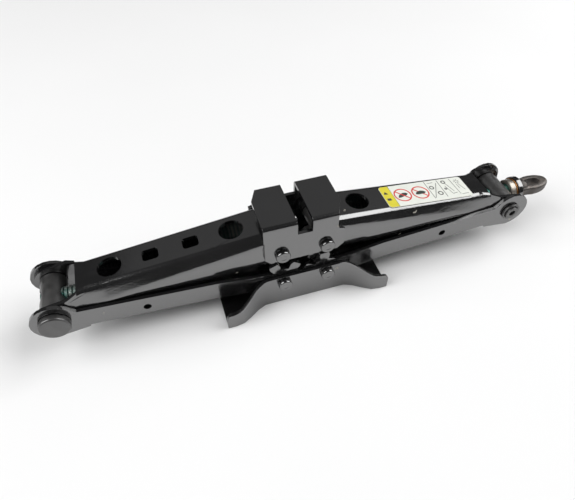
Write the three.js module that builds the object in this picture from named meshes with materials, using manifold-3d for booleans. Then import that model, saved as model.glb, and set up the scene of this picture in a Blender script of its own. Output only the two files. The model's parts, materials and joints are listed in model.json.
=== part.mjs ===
// A scissor jack, folded flat, in millimetres.
// +X runs along the screw towards the crank eye, +Y is across the jack and +Z is up.
// The origin is on the ground, under the middle of the base.
import * as THREE from "three";
import { mergeVertices } from "three/addons/utils/BufferGeometryUtils.js";
import Module from "manifold-3d";

const wasm = await Module();
wasm.setup();

// Driving dimensions.
const SHEET = 2.8; // thickness of every pressed sheet
const GAP = 0.3; // running clearance beside and round the pieces that move
const PIN_HALF_SPACING = 17.7; // base and saddle pins stand this far each side of the middle
const BASE_PIN_Z = 23.4;
const TRUNNION_X = 185;
const TRUNNION_Z = 37.3;
const SADDLE_PIN_Z = 2 * TRUNNION_Z - BASE_PIN_Z;
const ARM_RUN = TRUNNION_X - PIN_HALF_SPACING;
const ARM_RISE = TRUNNION_Z - BASE_PIN_Z;
const ARM_LENGTH = Math.hypot(ARM_RUN, ARM_RISE);
const ARM_TILT = Math.atan2(ARM_RISE, ARM_RUN);

// Outer faces of the four nested channels, measured from the middle plane. The lower
// arms are measured at the trunnions, and their flanges stand wider apart at the base.
const UPPER_OUTER_Y = 19.6;
const SADDLE_OUTER_Y = 22.7;
const LOWER_OUTER_Y = 22.7;
const BASE_WAIST_Y = 27.4;

// Finishes.
const BLACK = { color: 0x1b1b1b, roughness: 0.3, metalness: 0.2 };
const DARK_STEEL = { color: 0x3a3836, roughness: 0.5, metalness: 0.6 };
const GREEN_STEEL = { color: 0x21463f, roughness: 0.35, metalness: 0.5 };
const BRIGHT_STEEL = { color: 0x7d776c, roughness: 0.4, metalness: 0.9 };
const BRONZE = { color: 0xa8713f, roughness: 0.4, metalness: 0.9 };
const PAPER = { color: 0xd9dad3, roughness: 0.6, metalness: 0 };

const ROUND_SIDES = 24;
const THROUGH = 60; // half length of a tool that cuts right through a piece
const OVERCUT = 1; // how far a cutting tool runs past a face
const JOIN_OVERLAP = 0.05; // how far two stretches of one sheet run into each other
const MERGE_DISTANCE = 1e-4;

const jack = new THREE.Group();
const radians = THREE.MathUtils.degToRad;

// Solids, and how they are joined and cut.

function solidOf(geometry) {
  const bare = geometry.clone();
  bare.deleteAttribute("normal");
  bare.deleteAttribute("uv");
  const merged = mergeVertices(bare, MERGE_DISTANCE);
  const mesh = new wasm.Mesh({
    numProp: 3,
    vertProperties: Float32Array.from(merged.attributes.position.array),
    triVerts: Uint32Array.from(merged.index.array),
  });
  return new wasm.Manifold(mesh);
}

function geometryOf(solid) {
  const mesh = solid.getMesh();
  const geometry = new THREE.BufferGeometry();
  geometry.setAttribute("position", new THREE.BufferAttribute(mesh.vertProperties, 3));
  geometry.setIndex(new THREE.BufferAttribute(mesh.triVerts, 1));
  geometry.computeVertexNormals();
  return geometry;
}

function join(first, ...others) {
  return others.reduce((whole, piece) => whole.add(piece), first);
}

function cut(body, ...tools) {
  return tools.reduce((rest, tool) => rest.subtract(tool), body);
}

function addPiece(name, solid, finish, place = {}) {
  const piece = new THREE.Mesh(geometryOf(solid), new THREE.MeshStandardMaterial(finish));
  piece.name = name;
  piece.position.set(place.x ?? 0, 0, place.z ?? 0);
  piece.rotation.y = place.turn ?? 0;
  jack.add(piece);
}

function extruded(shape, depth) {
  return new THREE.ExtrudeGeometry(shape, { depth, bevelEnabled: false, curveSegments: 6 });
}

// A plate whose outline is drawn in the XZ plane, between two Y values.
function plateXZ(shape, fromY, toY) {
  const geometry = extruded(shape, toY - fromY);
  geometry.rotateX(Math.PI / 2);
  geometry.translate(0, toY, 0);
  return solidOf(geometry);
}

// A plate whose outline is drawn in the XY plane, between two Z values.
function plateXY(shape, fromZ, toZ) {
  const geometry = extruded(shape, toZ - fromZ);
  geometry.translate(0, 0, fromZ);
  return solidOf(geometry);
}

// A bar whose section is drawn in the YZ plane, between two X values.
function barGeometry(shape, fromX, toX, steps = 1) {
  const depth = toX - fromX;
  const settings = { depth, steps, bevelEnabled: false, curveSegments: 4 };
  const geometry = new THREE.ExtrudeGeometry(shape, settings);
  const turn = new THREE.Matrix4().makeBasis(
    new THREE.Vector3(0, 1, 0),
    new THREE.Vector3(0, 0, 1),
    new THREE.Vector3(1, 0, 0),
  );
  geometry.applyMatrix4(turn);
  geometry.translate(fromX, 0, 0);
  return geometry;
}

function block(fromX, toX, fromY, toY, fromZ, toZ) {
  const geometry = new THREE.BoxGeometry(toX - fromX, toY - fromY, toZ - fromZ);
  geometry.translate((fromX + toX) / 2, (fromY + toY) / 2, (fromZ + toZ) / 2);
  return solidOf(geometry);
}

function roundBar(radius, length) {
  return new THREE.CylinderGeometry(radius, radius, length, ROUND_SIDES);
}

function rodY(radius, fromY, toY, x = 0, z = 0) {
  const geometry = roundBar(radius, toY - fromY);
  geometry.translate(x, (fromY + toY) / 2, z);
  return solidOf(geometry);
}

function rodX(radius, fromX, toX) {
  const geometry = roundBar(radius, toX - fromX);
  geometry.rotateZ(-Math.PI / 2);
  geometry.translate((fromX + toX) / 2, 0, 0);
  return solidOf(geometry);
}

function rodZ(radius, x, y) {
  const geometry = roundBar(radius, 2 * THROUGH);
  geometry.rotateX(Math.PI / 2);
  geometry.translate(x, y, 0);
  return solidOf(geometry);
}

// A body of revolution about Y from [radius, y] corners that start and end on the axis.
function turnedY(corners) {
  const profile = corners.map(([radius, y]) => new THREE.Vector2(radius, y));
  return solidOf(new THREE.LatheGeometry(profile, ROUND_SIDES));
}

function tubeY(inner, outer, fromY, toY) {
  return cut(rodY(outer, fromY, toY), rodY(inner, fromY - OVERCUT, toY + OVERCUT));
}

function tubeX(inner, outer, fromX, toX) {
  return cut(rodX(outer, fromX, toX), rodX(inner, fromX - OVERCUT, toX + OVERCUT));
}

function roundedRectangle(x, y, width, height, radius) {
  const shape = new THREE.Shape();
  const right = x + width;
  const top = y + height;
  shape.moveTo(x + radius, y);
  shape.lineTo(right - radius, y);
  shape.absarc(right - radius, y + radius, radius, -Math.PI / 2, 0);
  shape.lineTo(right, top - radius);
  shape.absarc(right - radius, top - radius, radius, 0, Math.PI / 2);
  shape.lineTo(x + radius, top);
  shape.absarc(x + radius, top - radius, radius, Math.PI / 2, Math.PI);
  shape.lineTo(x, y + radius);
  shape.absarc(x + radius, y + radius, radius, Math.PI, 1.5 * Math.PI);
  return shape;
}

// The section of a sheet folded along two edges. Its web is at z = 0, and its flanges
// point to +Z where open is 1 and to -Z where open is -1.
function channelSection(outerY, depth, bendRadius, open) {
  const innerY = outerY - SHEET;
  const flatY = outerY - bendRadius;
  const section = new THREE.Shape();
  section.moveTo(outerY, open * depth);
  section.lineTo(outerY, open * bendRadius);
  section.quadraticCurveTo(outerY, 0, flatY, 0);
  section.lineTo(-flatY, 0);
  section.quadraticCurveTo(-outerY, 0, -outerY, open * bendRadius);
  section.lineTo(-outerY, open * depth);
  section.lineTo(-innerY, open * depth);
  section.lineTo(-innerY, open * bendRadius);
  section.quadraticCurveTo(-innerY, open * SHEET, -flatY, open * SHEET);
  section.lineTo(flatY, open * SHEET);
  section.quadraticCurveTo(innerY, open * SHEET, innerY, open * bendRadius);
  section.lineTo(innerY, open * depth);
  return section;
}

// Gear teeth on the arms' inner ends. The two arms of a pair roll on the pitch radius.
const TOOTH_PITCH = radians(60);
const TOOTH_BACKLASH = radians(1.6);
const PRESSURE_ANGLE = radians(20);
const GEAR_BASE_RADIUS = PIN_HALF_SPACING * Math.cos(PRESSURE_ANGLE);
const GEAR_TIP_RADIUS = 20;
const GEAR_ROOT_RADIUS = 12.4;
const FLANK_STEPS = 4;
const ROOT_STEP = radians(12);
// One arm of each pair has a tooth where its neighbour has a space.
const THREE_TEETH = [-5, 55, 113];
const TWO_TEETH = [25, 85];

function involute(angle) {
  return Math.tan(angle) - angle;
}

function halfToothAngle(radius) {
  const flankRadius = Math.max(radius, GEAR_BASE_RADIUS);
  const flankAngle = Math.acos(GEAR_BASE_RADIUS / flankRadius);
  const pitchAngle = TOOTH_PITCH / 4 - TOOTH_BACKLASH;
  return pitchAngle + involute(PRESSURE_ANGLE) - involute(flankAngle);
}

// The toothed edge as [radius, angle] pairs. Angles are measured from the line that
// points away from the arm, towards its open edge.
function toothedEdge(fromAngle, toAngle, toothAngles) {
  const rootHalf = halfToothAngle(GEAR_ROOT_RADIUS);
  const edge = [];
  let angle = fromAngle;
  const followRoot = (until) => {
    const steps = Math.ceil((until - angle) / ROOT_STEP);
    for (let i = 0; i < steps; i += 1) {
      edge.push([GEAR_ROOT_RADIUS, angle + (i * (until - angle)) / steps]);
    }
    angle = Math.max(angle, until);
  };
  const flank = [];
  for (let i = 0; i <= FLANK_STEPS; i += 1) {
    const share = i / FLANK_STEPS;
    flank.push(GEAR_BASE_RADIUS + (GEAR_TIP_RADIUS - GEAR_BASE_RADIUS) * share);
  }
  for (const middle of toothAngles) {
    followRoot(middle - rootHalf);
    edge.push([GEAR_ROOT_RADIUS, middle - rootHalf]);
    flank.forEach((radius) => edge.push([radius, middle - halfToothAngle(radius)]));
    flank.toReversed().forEach((radius) => edge.push([radius, middle + halfToothAngle(radius)]));
    angle = middle + rootHalf;
  }
  followRoot(toAngle);
  edge.push([GEAR_ROOT_RADIUS, angle]);
  return edge;
}

// Arms. Heights are measured from the line through an arm's two pivots: the web lies on
// one side of it, and the open edge and the teeth lie on the other.
const UPPER_ARM = {
  open: -1,
  outerY: UPPER_OUTER_Y,
  spread: 0,
  webHeight: 18.4,
  webDrop: -2.8,
  openEdge: 10.5,
  openEdgeAtEar: 11,
  earRadius: 13.4,
  earReach: 6,
  webStart: 9,
  webStop: 21,
};
const LOWER_ARM = {
  open: 1,
  outerY: LOWER_OUTER_Y,
  spread: 1.6,
  webHeight: 10.6,
  webDrop: 0.8,
  openEdge: 8.6,
  openEdgeAtEar: 7.5,
  earRadius: 16.2,
  earReach: 12.8,
  webStart: 14,
  webStop: 22,
};
const ARM_BEND_RADIUS = 3.2;
const EAR_SLOPE = 3; // length of the step between an ear and the straight open edge
const EAR_STEPS = 14;
const FOLD_MARGIN = 6;
const SPREAD_START = 25; // the toothed end is wide up to here
const SPREAD_END = 50; // and the arm is narrow from here on

// The outline of a flange, with the toothed end's pin at the origin and the arm running
// towards side * X. With a margin it reaches past the web.
function armOutline(arm, side, teeth, margin) {
  const at = (along, height) => new THREE.Vector2(side * along, arm.open * height);
  const webSide = Math.min(1, arm.webHeight / GEAR_ROOT_RADIUS);
  const startAngle = -Math.asin(webSide);
  const endAngle = Math.PI - Math.asin(arm.openEdge / GEAR_ROOT_RADIUS);
  const toothAngles = teeth.map((angle) => radians(angle) + ARM_TILT);
  const edge = toothedEdge(startAngle, endAngle, toothAngles);
  const points = edge.map(([radius, angle]) =>
    at(-radius * Math.cos(angle), radius * Math.sin(angle)),
  );
  points.push(at(ARM_LENGTH - arm.earReach - EAR_SLOPE, arm.openEdgeAtEar));
  const earStart = Math.acos(-arm.earReach / arm.earRadius);
  const earEnd = -Math.PI / 2;
  for (let i = 0; i <= EAR_STEPS; i += 1) {
    const angle = earStart + ((earEnd - earStart) * i) / EAR_STEPS;
    const along = ARM_LENGTH + arm.earRadius * Math.cos(angle);
    points.push(at(along, arm.earRadius * Math.sin(angle)));
  }
  points.push(at(ARM_LENGTH - arm.webStop, -arm.webHeight - arm.webDrop - margin));
  points.push(at(arm.webStart, -arm.webHeight - margin));
  return new THREE.Shape(points);
}

function webSlope(arm) {
  return Math.atan2(arm.webDrop, ARM_LENGTH - arm.webStop - arm.webStart);
}

// The folded stretch of an arm, along +X, with its web sloping from end to end and its
// flanges standing wider apart near the toothed end.
function foldedStretch(arm) {
  const depth = arm.webHeight + Math.abs(arm.webDrop) + arm.openEdge + FOLD_MARGIN;
  const section = channelSection(arm.outerY, depth, ARM_BEND_RADIUS, arm.open);
  const webEnd = ARM_LENGTH - arm.webStop;
  const from = arm.webStart - FOLD_MARGIN;
  const stations = [from, SPREAD_START, SPREAD_END, webEnd + FOLD_MARGIN];
  const lastStation = stations.length - 1;
  const geometry = barGeometry(section, 0, lastStation, lastStation);
  const points = geometry.getAttribute("position");
  for (let i = 0; i < points.count; i += 1) {
    const station = Math.round(points.getX(i));
    const spread = stations[station] > SPREAD_START ? 0 : arm.spread;
    points.setX(i, stations[station]);
    points.setY(i, points.getY(i) + Math.sign(points.getY(i)) * spread);
  }
  const slope = webSlope(arm);
  geometry.translate(-arm.webStart, 0, 0);
  geometry.rotateY(arm.open * slope);
  geometry.translate(arm.webStart, 0, -arm.open * arm.webHeight);
  return geometry;
}

function armSolid(arm, side, teeth, pinHole, frontHole, rearHole) {
  const outline = armOutline(arm, side, teeth, 0);
  const webFrom = side * arm.webStart;
  const webTo = side * (ARM_LENGTH - arm.webStop);
  const lowX = Math.min(webFrom, webTo);
  const highX = Math.max(webFrom, webTo);
  const channel = foldedStretch(arm);
  if (side < 0) {
    channel.rotateZ(Math.PI);
  }
  const wide = arm.outerY + arm.spread + OVERCUT;
  const reach = plateXZ(armOutline(arm, side, teeth, FOLD_MARGIN), -wide, wide);
  const webSpan = block(lowX, highX, -wide, wide, -THROUGH, THROUGH);
  const folded = solidOf(channel).intersect(reach).intersect(webSpan);
  const flangePair = (outerY, fromAlong, toAlong) => {
    const fromX = Math.min(side * fromAlong, side * toAlong);
    const toX = Math.max(side * fromAlong, side * toAlong);
    const pair = join(
      plateXZ(outline, outerY - SHEET, outerY),
      plateXZ(outline, -outerY, SHEET - outerY),
    );
    return pair.intersect(block(fromX, toX, -wide, wide, -THROUGH, THROUGH));
  };
  const gearEnd = arm.webStart + JOIN_OVERLAP;
  const earStart = ARM_LENGTH - arm.webStop - JOIN_OVERLAP;
  const farEnd = ARM_LENGTH + THROUGH;
  const gearFlanges = flangePair(arm.outerY + arm.spread, -THROUGH, gearEnd);
  const earFlanges = flangePair(arm.outerY, earStart, farEnd);
  return cut(
    join(folded, gearFlanges, earFlanges),
    rodY(pinHole, -THROUGH, THROUGH),
    rodY(frontHole, -THROUGH, 0, side * ARM_LENGTH),
    rodY(rearHole, 0, THROUGH, side * ARM_LENGTH),
  );
}

// Base: a channel with a narrow waist and flared feet.
const BASE_HALF_LENGTH = 67.7;
const BASE_FOOT_Y = 40.1;
const FLARE_START = 32;
const FLARE_END = 59;
const BASE_WAIST_HEIGHT = 29.8;
const BASE_FOOT_HEIGHT = 15;
const FOOT_SLOPE_START = 30;
const FOOT_SLOPE_END = 62;
const FOOT_CORNER = 5;
const BASE_STEPS = 20;

function smoothRise(value, from, to) {
  return THREE.MathUtils.smoothstep(Math.abs(value), from, to);
}

function baseEdgeY(x) {
  return BASE_WAIST_Y + (BASE_FOOT_Y - BASE_WAIST_Y) * smoothRise(x, FLARE_START, FLARE_END);
}

function baseInnerY(x) {
  const step = 0.5;
  const slope = (baseEdgeY(x + step) - baseEdgeY(x - step)) / (2 * step);
  return baseEdgeY(x) - SHEET * Math.hypot(1, slope);
}

function baseTopZ(x) {
  const fall = BASE_WAIST_HEIGHT - BASE_FOOT_HEIGHT;
  return BASE_WAIST_HEIGHT - fall * smoothRise(x, FOOT_SLOPE_START, FOOT_SLOPE_END);
}

function basePlan(halfWidth, halfLength) {
  const points = [];
  for (const side of [1, -1]) {
    for (let i = 0; i <= BASE_STEPS; i += 1) {
      const x = side * halfLength * (1 - (2 * i) / BASE_STEPS);
      points.push(new THREE.Vector2(x, side * halfWidth(x)));
    }
  }
  return new THREE.Shape(points);
}

function baseSide() {
  const shape = new THREE.Shape();
  const cornerX = BASE_HALF_LENGTH - FOOT_CORNER;
  const cornerZ = BASE_FOOT_HEIGHT - FOOT_CORNER;
  shape.moveTo(-BASE_HALF_LENGTH, 0);
  shape.lineTo(BASE_HALF_LENGTH, 0);
  shape.lineTo(BASE_HALF_LENGTH, cornerZ);
  shape.absarc(cornerX, cornerZ, FOOT_CORNER, 0, Math.PI / 2);
  for (let i = 1; i < BASE_STEPS; i += 1) {
    const x = cornerX * (1 - (2 * i) / BASE_STEPS);
    shape.lineTo(x, baseTopZ(x));
  }
  shape.absarc(-cornerX, cornerZ, FOOT_CORNER, Math.PI / 2, Math.PI);
  return shape;
}

function baseChannel(pinHole) {
  const outer = plateXY(basePlan(baseEdgeY, BASE_HALF_LENGTH), 0, BASE_WAIST_HEIGHT);
  const hollowLength = BASE_HALF_LENGTH + OVERCUT;
  const hollowTop = BASE_WAIST_HEIGHT + OVERCUT;
  const hollow = plateXY(basePlan(baseInnerY, hollowLength), SHEET, hollowTop);
  const side = plateXZ(baseSide(), -THROUGH, THROUGH);
  return cut(
    outer.intersect(side),
    hollow,
    rodY(pinHole, -THROUGH, THROUGH, -PIN_HALF_SPACING, BASE_PIN_Z),
    rodY(pinHole, -THROUGH, THROUGH, PIN_HALF_SPACING, BASE_PIN_Z),
  );
}

// Saddle: an inverted channel with a slot across its top for the sill seam.
const SADDLE_TOP_Z = 81.1;
const SADDLE_BOTTOM_Z = 43.9;
const SADDLE_NARROW_X = 26.6;
const SADDLE_MIDDLE_X = 31.2;
const SADDLE_WIDE_X = 31.8;
const SADDLE_SHOULDER_Z = 66;
const SADDLE_CORNER = 4.5;
const SADDLE_CHAMFER_START_Y = 9;
const SADDLE_CHAMFER_END_Y = 20;
const SADDLE_BEND_RADIUS = 3.6;
const SLOT_HALF_WIDTH = 5.8;
const SLOT_FLOOR_Z = 69.4;
const SLOT_BULGE_RADIUS = 7.6;
const SLOT_BULGE_X = -0.5;

// The front flange: straight on the left, stepped outwards below the shoulder on the right.
// The rear flange is the same, turned half round.
function saddleFlange(side) {
  const points = [
    [-SADDLE_MIDDLE_X, SADDLE_TOP_Z],
    [-SADDLE_MIDDLE_X, SADDLE_BOTTOM_Z + SADDLE_CORNER],
    [-SADDLE_MIDDLE_X + SADDLE_CORNER, SADDLE_BOTTOM_Z],
    [SADDLE_NARROW_X, SADDLE_BOTTOM_Z],
    [SADDLE_WIDE_X, SADDLE_BOTTOM_Z + SADDLE_CORNER],
    [SADDLE_WIDE_X, SADDLE_SHOULDER_Z - 2],
    [SADDLE_NARROW_X, SADDLE_SHOULDER_Z],
    [SADDLE_NARROW_X, SADDLE_TOP_Z],
  ];
  return new THREE.Shape(points.map(([x, z]) => new THREE.Vector2(side * x, z)));
}

function saddlePlan() {
  const quarter = [
    [SADDLE_WIDE_X, SADDLE_OUTER_Y + OVERCUT],
    [-SADDLE_NARROW_X + 1, SADDLE_OUTER_Y + OVERCUT],
    [-SADDLE_NARROW_X, SADDLE_CHAMFER_END_Y],
    [-SADDLE_WIDE_X, SADDLE_CHAMFER_START_Y],
  ];
  const other = quarter.map(([x, y]) => [-x, -y]);
  return new THREE.Shape([...quarter, ...other].map(([x, y]) => new THREE.Vector2(x, y)));
}

function saddleBracket(pinHole) {
  const depth = SADDLE_TOP_Z - SADDLE_BOTTOM_Z;
  const section = channelSection(SADDLE_OUTER_Y, depth, SADDLE_BEND_RADIUS, -1);
  const geometry = barGeometry(section, -SADDLE_WIDE_X, SADDLE_WIDE_X);
  geometry.translate(0, 0, SADDLE_TOP_Z);
  const channel = solidOf(geometry);
  const splitZ = SADDLE_SHOULDER_Z + 1;
  const plan = plateXY(saddlePlan(), splitZ, SADDLE_TOP_Z + OVERCUT);
  const bottom = SADDLE_BOTTOM_Z - OVERCUT;
  const above = block(-THROUGH, THROUGH, -THROUGH, THROUGH, bottom, splitZ + GAP);
  const flanges = join(
    plateXZ(saddleFlange(1), -THROUGH, 0),
    plateXZ(saddleFlange(-1), 0, THROUGH),
  );
  const lower = channel.intersect(flanges).intersect(above);
  const wide = SADDLE_OUTER_Y + OVERCUT;
  const top = SADDLE_TOP_Z + OVERCUT;
  return cut(
    join(channel.intersect(plan), lower),
    block(-SLOT_HALF_WIDTH, SLOT_HALF_WIDTH, -wide, wide, SLOT_FLOOR_Z, top),
    rodZ(SLOT_BULGE_RADIUS, SLOT_BULGE_X, 0),
    rodY(pinHole, -THROUGH, THROUGH, -PIN_HALF_SPACING, SADDLE_PIN_Z),
    rodY(pinHole, -THROUGH, THROUGH, PIN_HALF_SPACING, SADDLE_PIN_Z),
  );
}

// Rivet pins, with a head at both ends and a spacer tube between the arms' flanges.
const PIN_SHAFT_RADIUS = 4.2;
const SPACER_RADIUS = 6.2;
const HEAD_CHAMFER = 0.5;

function rivetPin(headRadius, seatY, faceY) {
  const half = [
    [0, -faceY],
    [headRadius - HEAD_CHAMFER, -faceY],
    [headRadius, HEAD_CHAMFER - faceY],
    [headRadius, -seatY],
    [PIN_SHAFT_RADIUS, -seatY],
  ];
  const otherHalf = half.toReversed().map(([radius, y]) => [radius, -y]);
  return turnedY([...half, ...otherHalf]);
}

function spacerTube(flangeOuterY) {
  const end = flangeOuterY - SHEET - GAP;
  return tubeY(PIN_SHAFT_RADIUS + GAP, SPACER_RADIUS, -end, end);
}

// Trunnions. The left one is the nut, with a big head in front; the right one carries the
// thrust end of the screw. Both are peened over washers.
const BODY_END_Y = UPPER_OUTER_Y - SHEET - GAP;
const WASHER_SEAT_Y = LOWER_OUTER_Y + GAP;
const WASHER_RADIUS = 7.9;
const WASHER_THICKNESS = 2;
const JOURNAL_RADIUS = 5.7;
const PEENED_END_Y = 26.6;
const NUT_BODY_RADIUS = 9.7;
const NUT_HEAD_RADIUS = 10.9;
const NUT_HEAD_FACE_Y = 27.9;
const NUT_HEAD_CHAMFER = 0.8;
const THRUST_BODY_RADIUS = 10;
const CENTRE_HOLE_RADIUS = 2.6;
const CENTRE_HOLE_DEPTH = 4;
const SCREW_RADIUS = 6.8;
const SCREW_HOLE_RADIUS = 7.2;
const SHANK_RADIUS = 6.2;

function nutTrunnion() {
  const body = turnedY([
    [0, -NUT_HEAD_FACE_Y],
    [NUT_HEAD_RADIUS - NUT_HEAD_CHAMFER, -NUT_HEAD_FACE_Y],
    [NUT_HEAD_RADIUS, NUT_HEAD_CHAMFER - NUT_HEAD_FACE_Y],
    [NUT_HEAD_RADIUS, -WASHER_SEAT_Y],
    [NUT_BODY_RADIUS, -WASHER_SEAT_Y],
    [NUT_BODY_RADIUS, BODY_END_Y],
    [JOURNAL_RADIUS, BODY_END_Y],
    [JOURNAL_RADIUS, PEENED_END_Y],
    [0, PEENED_END_Y],
  ]);
  return cut(body, rodX(SCREW_HOLE_RADIUS, -THROUGH, THROUGH));
}

function thrustTrunnion() {
  const body = turnedY([
    [0, -PEENED_END_Y],
    [JOURNAL_RADIUS, -PEENED_END_Y],
    [JOURNAL_RADIUS, -BODY_END_Y],
    [THRUST_BODY_RADIUS, -BODY_END_Y],
    [THRUST_BODY_RADIUS, BODY_END_Y],
    [JOURNAL_RADIUS, BODY_END_Y],
    [JOURNAL_RADIUS, PEENED_END_Y],
    [0, PEENED_END_Y],
  ]);
  const holeEnd = PEENED_END_Y - CENTRE_HOLE_DEPTH;
  return cut(
    body,
    rodX(SHANK_RADIUS + GAP, -THROUGH, THROUGH),
    rodY(CENTRE_HOLE_RADIUS, -THROUGH, -holeEnd),
    rodY(CENTRE_HOLE_RADIUS, holeEnd, THROUGH),
  );
}

function washerY(side) {
  const inner = side * WASHER_SEAT_Y;
  const outer = side * (WASHER_SEAT_Y + WASHER_THICKNESS);
  const fromY = Math.min(inner, outer);
  return tubeY(JOURNAL_RADIUS + GAP, WASHER_RADIUS, fromY, fromY + WASHER_THICKNESS);
}

// Screw line. X is measured from the thrust trunnion's axis.
const SCREW_TAIL_X = -2 * TRUNNION_X - 8;
const THREAD_END_X = -THRUST_BODY_RADIUS - 2;
const RING_START_X = 10.4;
const RING_END_X = 15.3;
const RING_RADIUS = 9.8;
const BRONZE_THICKNESS = 0.9;
const BRONZE_RADIUS = 10.2;
const COLLAR_RADIUS = 11.2;
const COLLAR_THICKNESS = 4.2;
const BRONZE_START_X = RING_END_X + GAP;
const COLLAR_START_X = BRONZE_START_X + BRONZE_THICKNESS + GAP;
const EYE_START_X = COLLAR_START_X + COLLAR_THICKNESS + GAP;
const EYE_TIP_X = 52.3;
const EYE_NECK_RADIUS = 7.6;
const EYE_HALF_WIDTH = 8.7;
const EYE_HALF_THICKNESS = 4.5;
const EYE_CENTRE_BACK = 16.7;
const EYE_CENTRE_X = EYE_TIP_X - EYE_CENTRE_BACK;
const EYE_HOLE_HALF_LENGTH = 8.8;
const EYE_HOLE_HALF_WIDTH = 3.9;
const EYE_BEVEL = 2;
const SHANK_END_X = EYE_START_X + 5;

function leadScrew() {
  return join(
    rodX(SCREW_RADIUS, SCREW_TAIL_X, THREAD_END_X),
    rodX(SHANK_RADIUS, THREAD_END_X - OVERCUT, SHANK_END_X),
  );
}

// The forged eye: a short neck that widens into a flat ring with an oval hole.
function crankEye() {
  const outline = new THREE.Shape();
  const inset = EYE_BEVEL;
  const neck = EYE_NECK_RADIUS - inset;
  const ring = EYE_HALF_WIDTH - inset;
  const start = EYE_START_X + inset;
  const tip = EYE_TIP_X - inset;
  outline.moveTo(start, -neck);
  outline.bezierCurveTo(start + 9, -neck, start + 9, -ring, EYE_CENTRE_X, -ring);
  outline.bezierCurveTo(EYE_CENTRE_X + 9, -ring, tip, -ring + 3, tip, 0);
  outline.bezierCurveTo(tip, ring - 3, EYE_CENTRE_X + 9, ring, EYE_CENTRE_X, ring);
  outline.bezierCurveTo(start + 9, ring, start + 9, neck, start, neck);
  const geometry = new THREE.ExtrudeGeometry(outline, {
    depth: 2 * (EYE_HALF_THICKNESS - inset),
    bevelThickness: inset,
    bevelSize: inset,
    bevelSegments: 2,
    curveSegments: 8,
  });
  geometry.translate(0, 0, inset - EYE_HALF_THICKNESS);
  const hole = new THREE.Shape();
  hole.absellipse(EYE_CENTRE_X, 0, EYE_HOLE_HALF_LENGTH, EYE_HOLE_HALF_WIDTH, 0, 2 * Math.PI);
  return cut(
    join(solidOf(geometry), rodX(EYE_NECK_RADIUS, EYE_START_X, EYE_START_X + 7)),
    plateXY(hole, -THROUGH, THROUGH),
    rodX(SHANK_RADIUS + GAP, EYE_START_X - OVERCUT, SHANK_END_X + GAP),
  );
}

// Label on the right upper arm's web, measured from the trunnion along the arm.
const LABEL_NEAR = 36.5;
const LABEL_FAR = 113.4;
const LABEL_FRONT_Y = -13.4;
const LABEL_REAR_Y = 11;
const LABEL_CORNER = 2.5;
const LABEL_THICKNESS = 0.3;

function instructionLabel() {
  const width = LABEL_FAR - LABEL_NEAR;
  const left = ARM_LENGTH - LABEL_FAR;
  const depth = LABEL_REAR_Y - LABEL_FRONT_Y;
  const shape = roundedRectangle(left, LABEL_FRONT_Y, width, depth, LABEL_CORNER);
  const label = extruded(shape, LABEL_THICKNESS);
  label.translate(-UPPER_ARM.webStart, 0, GAP / 2);
  label.rotateY(-webSlope(UPPER_ARM));
  label.translate(UPPER_ARM.webStart, 0, UPPER_ARM.webHeight);
  return solidOf(label);
}

// Openings in the arms.
const WEB_HOLES = {
  nearRound: { along: 45.6, radius: 9 },
  farRound: { along: 136.3, radius: 9.4 },
  windows: [75.5, 105.4],
  windowWidth: 12,
  windowDepth: 10.5,
  windowCorner: 2.5,
  drain: { along: 28.6, radius: 1.9, y: -14.8 },
};
const FLANGE_HOLE = { along: 63.4, radius: 2.9, height: -2 };

function webHole(side, hole) {
  return rodZ(hole.radius, side * (ARM_LENGTH - hole.along), hole.y ?? 0);
}

function webWindow(side, along) {
  const width = WEB_HOLES.windowWidth;
  const depth = WEB_HOLES.windowDepth;
  const left = side * (ARM_LENGTH - along) - width / 2;
  const shape = roundedRectangle(left, -depth / 2, width, depth, WEB_HOLES.windowCorner);
  return plateXY(shape, 0, THROUGH);
}

function addArms() {
  const pinHole = PIN_SHAFT_RADIUS + GAP;
  const journalHole = JOURNAL_RADIUS + GAP;
  const nutHole = NUT_BODY_RADIUS + GAP;
  const flangeHole = (side) => {
    const x = side * (ARM_LENGTH - FLANGE_HOLE.along);
    return rodY(FLANGE_HOLE.radius, -THROUGH, THROUGH, x, FLANGE_HOLE.height);
  };
  const lowerLeft = armSolid(LOWER_ARM, -1, THREE_TEETH, pinHole, nutHole, journalHole);
  const lowerRight = armSolid(LOWER_ARM, 1, TWO_TEETH, pinHole, journalHole, journalHole);
  const upperLeft = armSolid(UPPER_ARM, -1, TWO_TEETH, pinHole, nutHole, journalHole);
  const upperRight = armSolid(UPPER_ARM, 1, THREE_TEETH, pinHole, journalHole, journalHole);
  const lowerPlace = (side) => ({
    x: side * PIN_HALF_SPACING,
    z: BASE_PIN_Z,
    turn: -side * ARM_TILT,
  });
  const upperPlace = (side) => ({
    x: side * PIN_HALF_SPACING,
    z: SADDLE_PIN_Z,
    turn: side * ARM_TILT,
  });
  addPiece("lower_arm_left", cut(lowerLeft, flangeHole(-1)), BLACK, lowerPlace(-1));
  addPiece("lower_arm_right", cut(lowerRight, flangeHole(1)), BLACK, lowerPlace(1));
  const leftHoles = [
    webHole(-1, WEB_HOLES.nearRound),
    webHole(-1, WEB_HOLES.farRound),
    ...WEB_HOLES.windows.map((along) => webWindow(-1, along)),
  ];
  const rightHoles = [webHole(1, WEB_HOLES.farRound), webHole(1, WEB_HOLES.drain)];
  addPiece("upper_arm_left", cut(upperLeft, ...leftHoles), BLACK, upperPlace(-1));
  addPiece("upper_arm_right", cut(upperRight, ...rightHoles), BLACK, upperPlace(1));
  addPiece("instruction_label", instructionLabel(), PAPER, upperPlace(1));
}

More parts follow.
